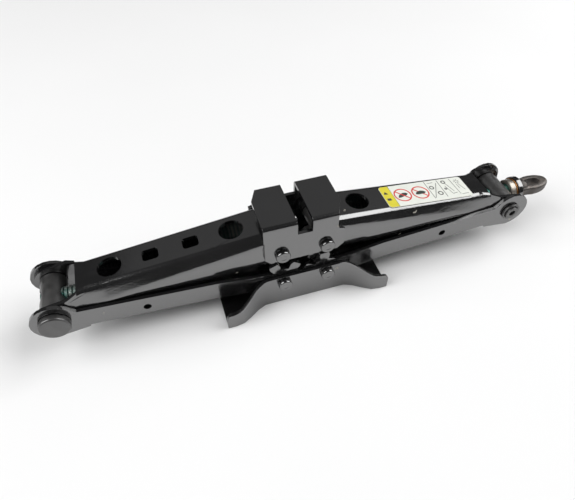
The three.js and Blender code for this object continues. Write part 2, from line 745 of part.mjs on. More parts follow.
function addBaseAndSaddle() {
  const pinHole = PIN_SHAFT_RADIUS + GAP;
  addPiece("base_channel", baseChannel(pinHole), BLACK);
  addPiece("saddle_bracket", saddleBracket(pinHole), BLACK);
  const pinHead = { base: 5.5, saddle: 5.8 };
  const pinFace = { base: 31.6, saddle: 26.5 };
  for (const [hand, side] of [["left", -1], ["right", 1]]) {
    const basePlace = { x: side * PIN_HALF_SPACING, z: BASE_PIN_Z };
    const saddlePlace = { x: side * PIN_HALF_SPACING, z: SADDLE_PIN_Z };
    const basePin = rivetPin(pinHead.base, BASE_WAIST_Y + GAP, pinFace.base);
    const saddlePin = rivetPin(pinHead.saddle, SADDLE_OUTER_Y + GAP, pinFace.saddle);
    addPiece("base_pin_" + hand, basePin, DARK_STEEL, basePlace);
    addPiece("base_spacer_" + hand, spacerTube(LOWER_OUTER_Y + LOWER_ARM.spread), DARK_STEEL, basePlace);
    addPiece("saddle_pin_" + hand, saddlePin, DARK_STEEL, saddlePlace);
    addPiece("saddle_spacer_" + hand, spacerTube(UPPER_OUTER_Y + UPPER_ARM.spread), DARK_STEEL, saddlePlace);
  }
}

function addScrewLine() {
  const leftPlace = { x: -TRUNNION_X, z: TRUNNION_Z };
  const rightPlace = { x: TRUNNION_X, z: TRUNNION_Z };
  const bronzeEnd = BRONZE_START_X + BRONZE_THICKNESS;
  const collarEnd = COLLAR_START_X + COLLAR_THICKNESS;
  const bore = SHANK_RADIUS + GAP;
  addPiece("nut_trunnion", nutTrunnion(), DARK_STEEL, leftPlace);
  addPiece("nut_trunnion_washer", washerY(1), DARK_STEEL, leftPlace);
  addPiece("thrust_trunnion", thrustTrunnion(), DARK_STEEL, rightPlace);
  addPiece("thrust_washer_front", washerY(-1), DARK_STEEL, rightPlace);
  addPiece("thrust_washer_rear", washerY(1), DARK_STEEL, rightPlace);
  addPiece("lead_screw", leadScrew(), GREEN_STEEL, rightPlace);
  const ring = tubeX(bore, RING_RADIUS, RING_START_X, RING_END_X);
  const bronze = tubeX(bore, BRONZE_RADIUS, BRONZE_START_X, bronzeEnd);
  const collar = tubeX(bore, COLLAR_RADIUS, COLLAR_START_X, collarEnd);
  addPiece("thrust_bearing_ring", ring, BRIGHT_STEEL, rightPlace);
  addPiece("bronze_thrust_washer", bronze, BRONZE, rightPlace);
  addPiece("crank_collar", collar, BLACK, rightPlace);
  addPiece("crank_eye", crankEye(), DARK_STEEL, rightPlace);
}

addBaseAndSaddle();
addArms();
addScrewLine();

export default jack;
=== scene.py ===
import json
import math

import bmesh
import bpy
from mathutils import Matrix, Vector


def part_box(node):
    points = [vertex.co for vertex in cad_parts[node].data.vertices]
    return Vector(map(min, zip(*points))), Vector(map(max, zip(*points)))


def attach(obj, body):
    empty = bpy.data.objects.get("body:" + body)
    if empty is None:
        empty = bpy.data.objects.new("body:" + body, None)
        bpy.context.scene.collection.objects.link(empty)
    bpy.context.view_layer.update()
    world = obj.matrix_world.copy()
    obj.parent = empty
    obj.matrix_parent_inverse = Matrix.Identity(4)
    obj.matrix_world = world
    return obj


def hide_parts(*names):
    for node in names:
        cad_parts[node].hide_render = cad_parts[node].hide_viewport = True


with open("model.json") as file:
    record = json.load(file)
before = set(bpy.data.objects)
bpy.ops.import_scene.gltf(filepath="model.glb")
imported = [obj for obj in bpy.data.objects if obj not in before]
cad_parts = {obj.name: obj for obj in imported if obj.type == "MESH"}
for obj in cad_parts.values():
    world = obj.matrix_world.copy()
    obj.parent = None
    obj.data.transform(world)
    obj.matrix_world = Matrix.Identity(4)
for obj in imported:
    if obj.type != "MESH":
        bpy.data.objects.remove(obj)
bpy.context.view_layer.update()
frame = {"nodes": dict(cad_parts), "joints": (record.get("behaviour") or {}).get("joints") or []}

bl_info = {
    "name": "Scissor Jack",
    "version": (1, 0, 0),
    "blender": (4, 5, 0),
    "location": "View3D > Sidebar > Jack",
    "description": "Builds the visible pieces of a folded scissor jack round its CAD frame",
    "category": "Object",
}

MM = 0.001

JOINTS = {joint["name"]: Vector(joint["pos_m"]) for joint in frame["joints"]}
LEFT_TRUNNION = JOINTS["left_elbow"]
RIGHT_TRUNNION = JOINTS["right_elbow"]
ALONG_X = Vector((1, 0, 0))
ALONG_Y = Vector((0, 1, 0))

SHEET_BODIES = {
    "base_channel": "base",
    "lower_arm_left": "lower_arm_left",
    "lower_arm_right": "lower_arm_right",
    "upper_arm_left": "upper_arm_left",
    "upper_arm_right": "upper_arm_right",
    "saddle_bracket": "saddle",
}
WELD = 0.02 * MM
SHORT_EDGE = 0.3 * MM
FLANGE_DEPTHS = (0.6, 1.6, 3.2, 5, 7, 9, 11, 13, 15, 17, 19, 21, 23, 25, 27)
FLANGE_STEPS = 14
FLANGE_REACH = 6 * MM
# The shoulder's depth and inset, and the skirt's start, are at the trunnion. Each
# change is what is added by the time the arm reaches the saddle. All are in mm.
SHOULDER_DEPTH = 15.3
SHOULDER_DEPTH_CHANGE = -11
SHOULDER_INSET = 6.2
SHOULDER_INSET_CHANGE = -1.8
SKIRT_START = 10
SKIRT_START_CHANGE = 15.5
SKIRT_LEAN = 0.2
LEAST_UPRIGHT = 1
# Shares of the arm's length, from the trunnion, between which the flange is pressed.
EAR_END = 0.0715
HEAD_START = 0.94
FADE_LENGTH = 0.06
FLAT_ANGLE = math.radians(0.6)
BEVEL_ANGLE = math.radians(34)
SMOOTH_ANGLE = math.radians(48)
FACES_UP = 0.9
CUT_TOLERANCE = 0.001 * MM
ARC_POINTS = 4
TURNED_SIDES = 96


# Sizes and colours that a user may change.


class JackSizes(bpy.types.PropertyGroup):
    edge_rounding: bpy.props.FloatProperty(
        name="Edge rounding",
        description="Radius on the edges of the pressed sheets",
        default=0.5 * MM,
        unit="LENGTH",
    )
    pin_rounding: bpy.props.FloatProperty(
        name="Turned edge rounding",
        description="Radius on the edges of turned pieces",
        default=0.55 * MM,
        unit="LENGTH",
    )
    thread_pitch: bpy.props.FloatProperty(
        name="Thread pitch",
        description="Distance between two turns of the screw's thread",
        default=3 * MM,
        unit="LENGTH",
    )
    thread_depth: bpy.props.FloatProperty(
        name="Thread depth",
        description="Height of the screw's thread above its core",
        default=1.3 * MM,
        unit="LENGTH",
    )
    forging_grain: bpy.props.FloatProperty(
        name="Forging grain",
        description="Size of the steps from which the forged eye is smoothed",
        default=0.42 * MM,
        unit="LENGTH",
    )


class JackFinishes(bpy.types.PropertyGroup):
    enamel: bpy.props.FloatVectorProperty(
        name="Enamel",
        description="Colour of the black enamel",
        default=(0.0062, 0.0061, 0.0064),
        subtype="COLOR",
    )
    dark_steel: bpy.props.FloatVectorProperty(
        name="Dark steel",
        description="Colour of the trunnions, washers and spacers",
        default=(0.020, 0.0195, 0.019),
        subtype="COLOR",
    )
    zinc: bpy.props.FloatVectorProperty(
        name="Green zinc",
        description="Colour of the plating on the screw",
        default=(0.055, 0.15, 0.13),
        subtype="COLOR",
    )
    bright_steel: bpy.props.FloatVectorProperty(
        name="Bright steel",
        description="Colour of the bearing ring and of worn thread crests",
        default=(0.36, 0.33, 0.29),
        subtype="COLOR",
    )
    bronze: bpy.props.FloatVectorProperty(
        name="Bronze",
        description="Colour of the thrust washer",
        default=(0.50, 0.24, 0.09),
        subtype="COLOR",
    )
    forging: bpy.props.FloatVectorProperty(
        name="Forged steel",
        description="Colour of the crank eye",
        default=(0.084, 0.075, 0.069),
        subtype="COLOR",
    )
    label: bpy.props.FloatVectorProperty(
        name="Label film",
        description="Colour of the label's unprinted film",
        default=(0.78, 0.80, 0.74),
        subtype="COLOR",
    )


def sizes():
    return bpy.context.scene.jack_sizes


def finishes():
    return bpy.context.scene.jack_finishes


# Materials.

FINISH_PREFIX = "finish_"


class Finish:
    """A node material with one Principled shader, built up link by link."""

    def __init__(self, name, roughness, metallic=0.0, ior=1.5):
        self.material = bpy.data.materials.new(FINISH_PREFIX + name)
        self.material.use_nodes = True
        self.tree = self.material.node_tree
        self.shader = self.tree.nodes["Principled BSDF"]
        self.set("Roughness", roughness)
        self.set("Metallic", metallic)
        self.set("IOR", ior)
        self.place = self.tree.nodes.new("ShaderNodeTexCoord").outputs["Object"]

    def set(self, socket, value):
        target = self.shader.inputs[socket]
        if isinstance(value, bpy.types.NodeSocket):
            self.tree.links.new(value, target)
        else:
            target.default_value = value

    def node(self, kind, inputs, **settings):
        made = self.tree.nodes.new(kind)
        for key, value in settings.items():
            setattr(made, key, value)
        for key, value in inputs.items():
            if isinstance(value, bpy.types.NodeSocket):
                self.tree.links.new(value, made.inputs[key])
            else:
                made.inputs[key].default_value = value
        return made

    def noise(self, scale, detail=4.0, place=None, roughness=0.55):
        inputs = {
            "Vector": place or self.place,
            "Scale": scale,
            "Detail": detail,
            "Roughness": roughness,
        }
        return self.node("ShaderNodeTexNoise", inputs).outputs["Fac"]

    def stretched(self, x, y, z):
        inputs = {"Vector": self.place, "Scale": (x, y, z)}
        return self.node("ShaderNodeMapping", inputs).outputs["Vector"]

    def remap(self, value, low, high, to_low=0.0, to_high=1.0):
        inputs = {
            "Value": value,
            "From Min": low,
            "From Max": high,
            "To Min": to_low,
            "To Max": to_high,
        }
        return self.node("ShaderNodeMapRange", inputs).outputs["Result"]

    def math(self, operation, first, second):
        made = self.node("ShaderNodeMath", {0: first, 1: second}, operation=operation)
        return made.outputs["Value"]

    def mix(self, share, first, second):
        made = self.node("ShaderNodeMix", {"Factor": share}, data_type="RGBA")
        a, b = [s for s in made.inputs if s.type == "RGBA"]
        for socket, value in ((a, first), (b, second)):
            if isinstance(value, bpy.types.NodeSocket):
                self.tree.links.new(value, socket)
            else:
                socket.default_value = (*value, 1)
        return [s for s in made.outputs if s.type == "RGBA"][0]

    def bump(self, height, distance, strength=1.0):
        inputs = {"Height": height, "Distance": distance, "Strength": strength}
        self.set("Normal", self.node("ShaderNodeBump", inputs).outputs["Normal"])

    def specks(self, scale, rarity, size):
        """Rare small spots: 1 inside a spot and 0 outside."""
        inputs = {"Vector": self.place, "Scale": scale, "Randomness": 1.0}
        cells = self.node("ShaderNodeTexVoronoi", inputs)
        split = self.node("ShaderNodeSeparateColor", {"Color": cells.outputs["Color"]})
        chosen = self.math("GREATER_THAN", split.outputs[0], rarity)
        ragged = self.remap(self.noise(scale * 3, 2), 0.3, 0.7, 0.5, 1.5)
        reach = self.math("MULTIPLY", cells.outputs["Distance"], ragged)
        inside = self.math("LESS_THAN", reach, size)
        return self.math("MULTIPLY", chosen, inside)


def lighter(colour, factor):
    return tuple(min(1.0, part * factor) for part in colour)


def enamel_finish():
    finish = Finish("black_enamel", 0.1, ior=2.15)
    finish.set("Specular IOR Level", 0.68)
    colour = tuple(finishes().enamel)
    haze = finish.remap(finish.noise(28, 5), 0.35, 0.75)
    dust = finish.remap(finish.noise(420, 6), 0.56, 0.78)
    base = finish.mix(haze, colour, lighter(colour, 1.5))
    base = finish.mix(finish.math("MULTIPLY", dust, 0.25), base, lighter(colour, 4))
    chips = finish.specks(190, 0.987, 0.26)
    base = finish.mix(chips, base, (0.34, 0.32, 0.27))
    finish.set("Base Color", base)
    scuffs = finish.noise(90, 6, finish.stretched(0.25, 1, 1))
    rough = finish.remap(scuffs, 0.3, 0.8, 0.07, 0.22)
    finish.set("Roughness", finish.math("MAXIMUM", rough, chips))
    peel = finish.math("MULTIPLY", finish.noise(700, 2), 0.6)
    dents = finish.noise(55, 3)
    finish.bump(finish.math("ADD", peel, dents), 0.06 * MM)
    return finish.material


def dark_steel_finish():
    finish = Finish("dark_steel", 0.35, ior=1.95)
    colour = tuple(finishes().dark_steel)
    stain = finish.remap(finish.noise(60, 6), 0.35, 0.7)
    rust = finish.remap(finish.noise(240, 6), 0.62, 0.8, 0, 0.35)
    base = finish.mix(stain, lighter(colour, 0.7), lighter(colour, 1.6))
    finish.set("Base Color", finish.mix(rust, base, (0.04, 0.03, 0.022)))
    finish.set("Roughness", finish.remap(finish.noise(150, 5), 0.3, 0.7, 0.26, 0.45))
    finish.bump(finish.noise(1100, 4), 0.05 * MM)
    return finish.material


def screw_finish():
    finish = Finish("screw_steel", 0.35, metallic=0.75)
    colour = tuple(finishes().zinc)
    centred = finish.node(
        "ShaderNodeMapping",
        {"Vector": finish.place, "Location": (0, 0, -RIGHT_TRUNNION.z), "Scale": (0, 1, 1)},
    )
    length = finish.node(
        "ShaderNodeVectorMath", {0: centred.outputs["Vector"]}, operation="LENGTH"
    )
    radius = sizes_of("lead_screw")[1]
    crest = finish.remap(length.outputs["Value"], radius - 0.35 * MM, radius - 0.1 * MM)
    worn = finish.math("MULTIPLY", crest, finish.remap(finish.noise(120, 5), 0.35, 0.6))
    cloud = finish.remap(finish.noise(180, 5), 0.3, 0.7)
    base = finish.mix(cloud, lighter(colour, 0.6), lighter(colour, 1.4))
    finish.set("Base Color", finish.mix(worn, base, (0.55, 0.56, 0.53)))
    finish.set("Metallic", finish.remap(worn, 0, 1, 0.7, 1.0))
    finish.set("Roughness", finish.remap(finish.noise(300, 4), 0.3, 0.7, 0.24, 0.45))
    finish.bump(finish.noise(1500, 3), 0.03 * MM)
    return finish.material


def bearing_finish():
    finish = Finish("bearing_steel", 0.38, metallic=0.85)
    colour = tuple(finishes().bright_steel)
    lines = finish.noise(900, 3, finish.stretched(6, 0.4, 0.4))
    stain = finish.remap(finish.noise(110, 6), 0.42, 0.72)
    base = finish.mix(stain, colour, lighter(colour, 0.45))
    finish.set("Base Color", base)
    finish.set("Roughness", finish.remap(lines, 0.3, 0.7, 0.28, 0.5))
    finish.bump(lines, 0.03 * MM)
    return finish.material


def bronze_finish():
    finish = Finish("bronze", 0.4, metallic=0.9)
    colour = tuple(finishes().bronze)
    tarnish = finish.remap(finish.noise(200, 6), 0.4, 0.7)
    finish.set("Base Color", finish.mix(tarnish, colour, lighter(colour, 0.5)))
    finish.set("Roughness", finish.remap(finish.noise(400, 4), 0.3, 0.7, 0.3, 0.55))
    finish.bump(finish.noise(1200, 3), 0.03 * MM)
    return finish.material


def forged_finish():
    finish = Finish("forged_steel", 0.42, metallic=0.55)
    colour = tuple(finishes().forging)
    scale = finish.remap(finish.noise(130, 7), 0.35, 0.7)
    rust = finish.remap(finish.noise(260, 6), 0.55, 0.78, 0, 0.5)
    base = finish.mix(scale, lighter(colour, 0.65), lighter(colour, 1.35))
    finish.set("Base Color", finish.mix(rust, base, (0.16, 0.095, 0.06)))
    finish.set("Roughness", finish.remap(finish.noise(200, 6), 0.3, 0.7, 0.3, 0.55))
    pits = finish.math("ADD", finish.noise(300, 6), finish.noise(90, 3))
    finish.bump(pits, 0.14 * MM)
    return finish.material


def film_finish(name, colour, roughness=0.42):
    finish = Finish(name, roughness)
    grime = finish.remap(finish.noise(140, 6), 0.45, 0.8, 0, 0.35)
    finish.set("Base Color", finish.mix(grime, colour, lighter(colour, 0.72)))
    smudges = finish.noise(320, 4)
    rough = finish.remap(smudges, 0.3, 0.7, roughness - 0.08, roughness + 0.12)
    finish.set("Roughness", rough)
    finish.bump(finish.noise(500, 4), 0.02 * MM)
    return finish.material


MATERIAL_MAKERS = {
    "black_enamel": enamel_finish,
    "dark_steel": dark_steel_finish,
    "screw_steel": screw_finish,
    "bearing_steel": bearing_finish,
    "bronze": bronze_finish,
    "forged_steel": forged_finish,
    "label_paper": lambda: film_finish("label_paper", tuple(finishes().label)),
    "ink_yellow": lambda: film_finish("ink_yellow", (0.70, 0.62, 0.045)),
    "ink_red": lambda: film_finish("ink_red", (0.62, 0.05, 0.045)),
    "ink_grey": lambda: film_finish("ink_grey", (0.06, 0.062, 0.06)),
    "ink_dark": lambda: film_finish("ink_dark", (0.035, 0.045, 0.04)),
}


def material(name):
    """The named finish, made the first time it is asked for."""
    return bpy.data.materials.get(FINISH_PREFIX + name) or MATERIAL_MAKERS[name]()


# Meshes.


def sizes_of(node):
    """The middle of a node's box and its radius across the jack's height."""
    low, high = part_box(node)
    return (low + high) / 2, (high.z - low.z) / 2


def new_object(name, bm):
    mesh = bpy.data.meshes.new(name)
    bm.to_mesh(mesh)
    bm.free()
    made = bpy.data.objects.new(name, mesh)
    bpy.context.scene.collection.objects.link(made)
    return made


def apply_modifiers(piece):
    """Turns a piece and its modifiers into one plain mesh."""
    graph = bpy.context.evaluated_depsgraph_get()
    plain = bpy.data.meshes.new_from_object(piece.evaluated_get(graph))
    old = piece.data
    piece.modifiers.clear()
    piece.data = plain
    bpy.data.meshes.remove(old)
    return piece


def soften_normals(piece):
    piece.data.polygons.foreach_set("use_smooth", [True] * len(piece.data.polygons))
    piece.data.set_sharp_from_angle(angle=SMOOTH_ANGLE)
    weighted = piece.modifiers.new("Weighted normals", "WEIGHTED_NORMAL")
    weighted.keep_sharp = True
    return apply_modifiers(piece)


def finish_piece(piece, finish, body, *nodes):
    if not piece.data.materials:
        piece.data.materials.append(material(finish))
    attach(piece, body)
    if nodes:
        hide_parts(*nodes)
    return piece


def rounded_corners(corners, radius, closed):
    """The corners of a turned profile with an arc at each of them."""
    count = len(corners)
    points = []
    for i, corner in enumerate(corners):
        here = Vector(corner)
        if not closed and i in (0, count - 1):
            points.append(here)
            continue
        back = Vector(corners[i - 1]) - here
        ahead = Vector(corners[(i + 1) % count]) - here
        reach = min(radius, back.length * 0.45, ahead.length * 0.45)
        start = here + back.normalized() * reach
        end = here + ahead.normalized() * reach
        for step in range(ARC_POINTS + 1):
            share = step / ARC_POINTS
            first = start.lerp(here, share)
            second = here.lerp(end, share)
            points.append(first.lerp(second, share))
    return points


def turned(name, corners, axis, centre, closed=False, radius=None):
    """A body of revolution from [radius, along] corners, about an axis through centre."""
    profile = rounded_corners(corners, sizes().pin_rounding if radius is None else radius, closed)
    bm = bmesh.new()
    side = Vector((0, 0, 1))
    across = axis.cross(side)
    rings = []
    for point in profile:
        middle = centre + axis * point[1]
        if point[0] < WELD:
            rings.append([bm.verts.new(middle)])
            continue
        ring = []
        for i in range(TURNED_SIDES):
            angle = 2 * math.pi * i / TURNED_SIDES
            spoke = side * math.cos(angle) + across * math.sin(angle)
            ring.append(bm.verts.new(middle + spoke * point[0]))
        rings.append(ring)
    pairs = list(zip(rings, rings[1:]))
    if closed:
        pairs.append((rings[-1], rings[0]))
    for first, second in pairs:
        for i in range(TURNED_SIDES):
            j = (i + 1) % TURNED_SIDES
            corners_of_face = [first[i % len(first)], first[j % len(first)]]
            corners_of_face += [second[j % len(second)], second[i % len(second)]]
            unique = list(dict.fromkeys(corners_of_face))
            if len(unique) > 2:
                bm.faces.new(unique)
    bmesh.ops.recalc_face_normals(bm, faces=bm.faces)
    return soften_normals(new_object(name, bm))


def tube(name, node, axis, inner):
    """A ring that fills a CAD node's box, with its edges rounded."""
    low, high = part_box(node)
    centre, outer = sizes_of(node)
    half = (high - low).dot(axis) / 2
    corners = [(inner, -half), (outer, -half), (outer, half), (inner, half)]
    return turned(name, corners, axis, centre, closed=True)


def cut_hole(piece, radius, axis, centre, half_length):
    corners = [(0, -half_length), (radius, -half_length), (radius, half_length), (0, half_length)]
    tool = turned("hole_tool", corners, axis, centre, radius=0.0)
    boolean = piece.modifiers.new("Hole", "BOOLEAN")
    boolean.operation = "DIFFERENCE"
    boolean.solver = "EXACT"
    boolean.object = tool
    apply_modifiers(piece)
    bpy.data.objects.remove(tool)
    return soften_normals(piece)


def prism(bm, outline, bottom, top, place, material_index=0):
    """A flat prism on the label's plane, from an outline of (along, across) points."""
    lower = [bm.verts.new(place(u, v, bottom)) for u, v in outline]
    upper = [bm.verts.new(place(u, v, top)) for u, v in outline]
    count = len(outline)
    faces = [bm.faces.new(upper), bm.faces.new(lower[::-1])]
    for i in range(count):
        j = (i + 1) % count
        faces.append(bm.faces.new([lower[i], lower[j], upper[j], upper[i]]))
    for face in faces:
        face.material_index = material_index


# Pressed sheets.


def flange_offset(depth, along):
    """How far in from the flat flange the sheet lies, at a depth below the web.

    The shoulder under the web leans out, the middle stands upright and the lower
    edge leans back in. Along runs from 0 at the trunnion to 1 at the saddle.
    """
    shoulder = (SHOULDER_DEPTH + SHOULDER_DEPTH_CHANGE * along) * MM
    skirt_start = SKIRT_START + SKIRT_START_CHANGE * along
    skirt = max(skirt_start, shoulder / MM + LEAST_UPRIGHT) * MM
    if depth < shoulder:
        inset = (SHOULDER_INSET + SHOULDER_INSET_CHANGE * along) * MM
        return inset * (1 - depth / shoulder)
    return max(depth - skirt, 0) * SKIRT_LEAN


def press_flanges(bm, trunnion_x):
    """Press the long tapering shoulder into both flanges of an upper arm."""
    webs = [face for face in bm.faces if face.normal.z > FACES_UP]
    web = max(webs, key=lambda face: face.calc_area())
    normal, point = web.normal.copy(), web.calc_center_median()
    edge = max(vertex.co.y for vertex in bm.verts)
    cuts = [(point - normal * depth * MM, normal) for depth in FLANGE_DEPTHS]
    cuts += [
        (ALONG_X * trunnion_x * (1 - step / FLANGE_STEPS), ALONG_X)
        for step in range(1, FLANGE_STEPS)
    ]
    for place, across in cuts:
        bmesh.ops.bisect_plane(
            bm,
            geom=bm.verts[:] + bm.edges[:] + bm.faces[:],
            plane_co=place,
            plane_no=across,
            dist=CUT_TOLERANCE,
        )
    for vertex in bm.verts:
        if abs(vertex.co.y) < edge - FLANGE_REACH:
            continue
        along = 1 - vertex.co.x / trunnion_x
        fade = min(max(min(along - EAR_END, HEAD_START - along) / FADE_LENGTH, 0), 1)
        depth = max((point - vertex.co).dot(normal), 0)
        inward = flange_offset(depth, min(max(along, 0), 1)) * fade
        vertex.co.y -= math.copysign(inward, vertex.co.y)


class JACK_OT_pressed_sheets(bpy.types.Operator):
    """Give the base, the arms and the saddle their rounded edges and enamel"""

    bl_idname = "jack.pressed_sheets"
    bl_label = "Pressed Sheets"

    def execute(self, context):
        for node, body in SHEET_BODIES.items():
            bm = bmesh.new()
            bm.from_mesh(frame["nodes"][node].data)
            bmesh.ops.remove_doubles(bm, verts=bm.verts, dist=WELD)
            bmesh.ops.dissolve_limit(
                bm, angle_limit=FLAT_ANGLE, verts=bm.verts, edges=bm.edges
            )
            bmesh.ops.dissolve_degenerate(bm, dist=SHORT_EDGE, edges=bm.edges)
            if node.startswith("upper_arm"):
                press_flanges(bm, JOINTS[body.split("_")[-1] + "_elbow"].x)
            piece = new_object("pressed_" + node, bm)
            bevel = piece.modifiers.new("Edges", "BEVEL")
            bevel.width = sizes().edge_rounding
            bevel.segments = 3
            bevel.limit_method = "ANGLE"
            bevel.angle_limit = BEVEL_ANGLE
            bevel.use_clamp_overlap = True
            apply_modifiers(piece)
            soften_normals(piece)
            finish_piece(piece, "black_enamel", body, node)
        return {"FINISHED"}


# Rivet pins and their spacers.

SEAT_GAP = 0.3 * MM
SHAFT_RADIUS = 4.2 * MM
HEAD_SEATS = {"base": 27.7 * MM, "saddle": 23.0 * MM}
BODY_HANDS = [(part, hand) for part in ("base", "saddle") for hand in ("left", "right")]
DIMPLE_RADIUS = 2.2 * MM
DIMPLE_DEPTH = 0.25 * MM


class JACK_OT_rivet_pins(bpy.types.Operator):
    """Turn the four rivet pins and the spacer tubes round them"""

    bl_idname = "jack.rivet_pins"
    bl_label = "Rivet Pins"

    def execute(self, context):
        for part, hand in BODY_HANDS:
            node = f"{part}_pin_{hand}"
            low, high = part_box(node)
            centre, head = sizes_of(node)
            seat = HEAD_SEATS[part]
            half = [
                (0, -high.y + DIMPLE_DEPTH),
                (DIMPLE_RADIUS, -high.y + DIMPLE_DEPTH),
                (DIMPLE_RADIUS + DIMPLE_DEPTH, -high.y),
                (head - 0.7 * MM, -high.y),
                (head, -high.y + 0.9 * MM),
                (head, -seat),
                (SHAFT_RADIUS, -seat),
            ]
            corners = half + [(radius, -along) for radius, along in half[::-1]]
            pin = turned("rivet_" + node, corners, ALONG_Y, centre)
            finish_piece(pin, "black_enamel", part, node)
            node = f"{part}_spacer_{hand}"
            spacer = tube("turned_" + node, node, ALONG_Y, SHAFT_RADIUS + SEAT_GAP)
            finish_piece(spacer, "dark_steel", part, node)
        return {"FINISHED"}


# Trunnions.

WASHER_SEAT = 23.0 * MM
JOURNAL_RADIUS = 5.7 * MM
BODY_END = 16.5 * MM
NUT_BODY_RADIUS = 9.7 * MM
SCREW_HOLE_RADIUS = 7.2 * MM
SHANK_HOLE_RADIUS = 6.5 * MM
CENTRE_HOLE_RADIUS = 2.6 * MM
CENTRE_HOLE_DEPTH = 4 * MM


class JACK_OT_nut_trunnion(bpy.types.Operator):
    """Turn the nut trunnion with its big front head, and the washer behind it"""

    bl_idname = "jack.nut_trunnion"
    bl_label = "Nut Trunnion"

    def execute(self, context):
        low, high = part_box("nut_trunnion")
        head = (high.z - low.z) / 2
        corners = [
            (0, low.y),
            (head - 0.9 * MM, low.y),
            (head, low.y + 0.9 * MM),
            (head, -WASHER_SEAT),
            (NUT_BODY_RADIUS, -WASHER_SEAT),
            (NUT_BODY_RADIUS, BODY_END),
            (JOURNAL_RADIUS, BODY_END),
            (JOURNAL_RADIUS, high.y - 0.4 * MM),
            (JOURNAL_RADIUS - 1.2 * MM, high.y),
            (0, high.y - 0.3 * MM),
        ]
        centre = Vector((LEFT_TRUNNION.x, 0, LEFT_TRUNNION.z))
        nut = turned("turned_nut_trunnion", corners, ALONG_Y, centre)
        cut_hole(nut, SCREW_HOLE_RADIUS, ALONG_X, centre, 3 * NUT_BODY_RADIUS)
        finish_piece(nut, "dark_steel", "nut_trunnion", "nut_trunnion")
        washer = tube(
            "turned_nut_washer", "nut_trunnion_washer", ALONG_Y, JOURNAL_RADIUS + SEAT_GAP
        )
        finish_piece(washer, "dark_steel", "nut_trunnion", "nut_trunnion_washer")
        return {"FINISHED"}


class JACK_OT_thrust_trunnion(bpy.types.Operator):
    """Turn the thrust trunnion with its drilled ends, and its two washers"""

    bl_idname = "jack.thrust_trunnion"
    bl_label = "Thrust Trunnion"

    def execute(self, context):
        low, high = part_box("thrust_trunnion")
        body = (high.z - low.z) / 2
        half = [
            (0, low.y + CENTRE_HOLE_DEPTH),
            (CENTRE_HOLE_RADIUS, low.y + CENTRE_HOLE_DEPTH),
            (CENTRE_HOLE_RADIUS, low.y),
            (JOURNAL_RADIUS, low.y),
            (JOURNAL_RADIUS, -BODY_END),
            (body, -BODY_END),
        ]
        corners = half + [(radius, -along) for radius, along in half[::-1]]
        centre = Vector((RIGHT_TRUNNION.x, 0, RIGHT_TRUNNION.z))
        trunnion = turned("turned_thrust_trunnion", corners, ALONG_Y, centre)
        cut_hole(trunnion, SHANK_HOLE_RADIUS, ALONG_X, centre, 3 * body)
        finish_piece(trunnion, "dark_steel", "thrust_trunnion", "thrust_trunnion")
        for side in ("front", "rear"):
            node = "thrust_washer_" + side
            washer = tube("turned_" + node, node, ALONG_Y, JOURNAL_RADIUS + SEAT_GAP)
            finish_piece(washer, "dark_steel", "thrust_trunnion", node)
        return {"FINISHED"}


# Lead screw.

SHANK_RADIUS = 6.2 * MM
SHANK_START = 12 * MM
THREAD_POINTS = 28
THREAD_ROOT_SHARE = 0.66
THREAD_CREST_SHARE = 0.34
THREAD_OVERLAP = 0.05 * MM
THREAD_CLEARANCE = 0.02 * MM
SECTION_TURN = -90


